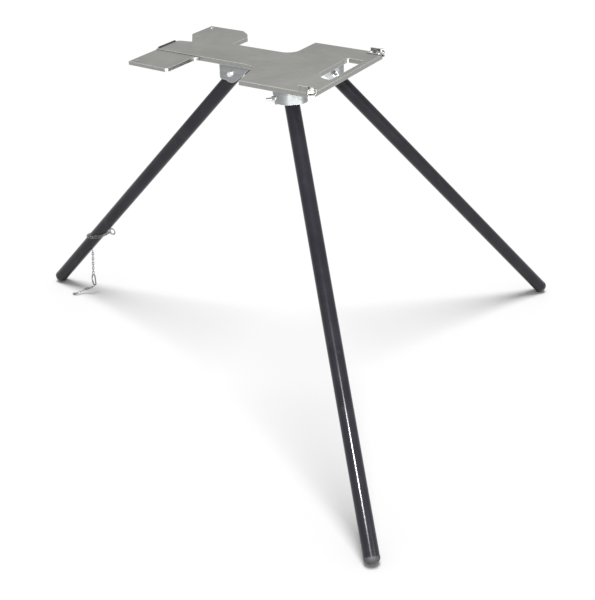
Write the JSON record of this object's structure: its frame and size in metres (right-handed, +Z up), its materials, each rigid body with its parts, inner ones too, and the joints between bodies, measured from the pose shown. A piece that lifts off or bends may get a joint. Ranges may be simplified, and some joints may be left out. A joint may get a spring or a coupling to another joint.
{
  "type": "tripod hunting stand",
  "caption": "Flat T-shaped aluminium deck with a carry slot, carried on folding black tube legs in bent brackets, with corner lashing rings and a leg chain.",
  "frame": {"origin": "top face of the deck, on its lengthwise centreline, above the step where the wide end carries the front leg bracket", "axes": "+X along the deck towards its wide end, +Y to the back, +Z up from the deck's top face"},
  "size_m": [1.297, 1.1884, 0.7482],
  "materials": {
    "deck_aluminium": "matt, lightly brushed",
    "bracket_aluminium": "bent plate, satin",
    "keeper_aluminium": "bent plate, matt",
    "bright_steel": "bright zinc plated",
    "plain_steel": "turned",
    "black_tube": "satin black powder coat",
    "black_plastic": "moulded",
    "black_rubber": "moulded",
    "ring_steel": "bright plated wire",
    "chain_steel": "plated, slightly dull"
  },
  "bodies": {
    "stand_head": {"deck_plate": "deck_aluminium", "front_leaf": "deck_aluminium", "leaf_strap": "deck_aluminium", "leaf_screws": "bright_steel", "locating_stud": "bright_steel", "head_stop_strip": "black_rubber", "front_bracket": "bracket_aluminium", "rear_bracket": "bracket_aluminium", "left_bracket": "bracket_aluminium", "pivot_bolts": "bright_steel", "pivot_nuts": "bright_steel", "pivot_washers": "bright_steel", "pivot_spacers": "plain_steel", "front_corner_keeper": "keeper_aluminium", "rear_corner_keeper": "keeper_aluminium", "keeper_screws": "bright_steel", "corner_bumpers": "black_rubber"},
    "front_leg": {"front_leg_tube": "black_tube", "front_leg_sleeve": "plain_steel", "front_leg_top_plug": "black_plastic", "front_leg_foot": "black_rubber"},
    "rear_leg": {"rear_leg_tube": "black_tube", "rear_leg_sleeve": "plain_steel", "rear_leg_top_plug": "black_plastic", "rear_leg_foot": "black_rubber"},
    "left_leg": {"left_leg_tube": "black_tube", "left_leg_sleeve": "plain_steel", "left_leg_top_plug": "black_plastic", "left_leg_foot": "black_rubber", "chain_wrap": "chain_steel", "chain_end_ring": "chain_steel"},
    "front_ring": {"front_lashing_ring": "ring_steel"},
    "rear_ring": {"rear_lashing_ring": "ring_steel"},
    "hanging_chain": {"chain_strand": "chain_steel", "snap_hook": "chain_steel", "gate_pin": "chain_steel", "chain_tail": "chain_steel", "chain_ball": "chain_steel"},
    "gate": {"hook_gate": "chain_steel"}
  },
  "joints": [
    {"name": "front_leg_fold", "type": "hinge", "parent": "stand_head", "child": "front_leg", "pos_m": [-0.003, -0.1015, -0.037], "axis": [0.7157, 0.6984, 0], "range_deg": [0, 45]},
    {"name": "rear_leg_fold", "type": "hinge", "parent": "stand_head", "child": "rear_leg", "pos_m": [-0.03, 0.101, -0.037], "axis": [-0.8007, 0.599, 0], "range_deg": [0, 45]},
    {"name": "left_leg_fold", "type": "hinge", "parent": "stand_head", "child": "left_leg", "pos_m": [-0.2, 0, -0.037], "axis": [0, -1, 0], "range_deg": [0, 45]},
    {"name": "front_ring_swing", "type": "hinge", "parent": "stand_head", "child": "front_ring", "pos_m": [0.07698, -0.15298, 0.0075], "axis": [-0.7071, -0.7071, 0], "range_deg": [0, 160]},
    {"name": "rear_ring_swing", "type": "hinge", "parent": "stand_head", "child": "rear_ring", "pos_m": [0.07698, 0.15298, 0.0075], "axis": [0.7071, -0.7071, 0], "range_deg": [0, 160]},
    {"name": "chain_hang", "type": "hinge", "parent": "left_leg", "child": "hanging_chain", "pos_m": [-0.70073, 0, -0.60902], "axis": [0, -1, 0], "range_deg": [-40.5, 0]},
    {"name": "hook_gate_open", "type": "hinge", "parent": "hanging_chain", "child": "gate", "pos_m": [-0.70393, -0.01, -0.70132], "axis": [0, 1, 0], "range_deg": [0, 25]}
  ],
  "couplings": [
    {"joint": "chain_hang", "follows": "left_leg_fold", "ratio": -0.9}
  ]
}
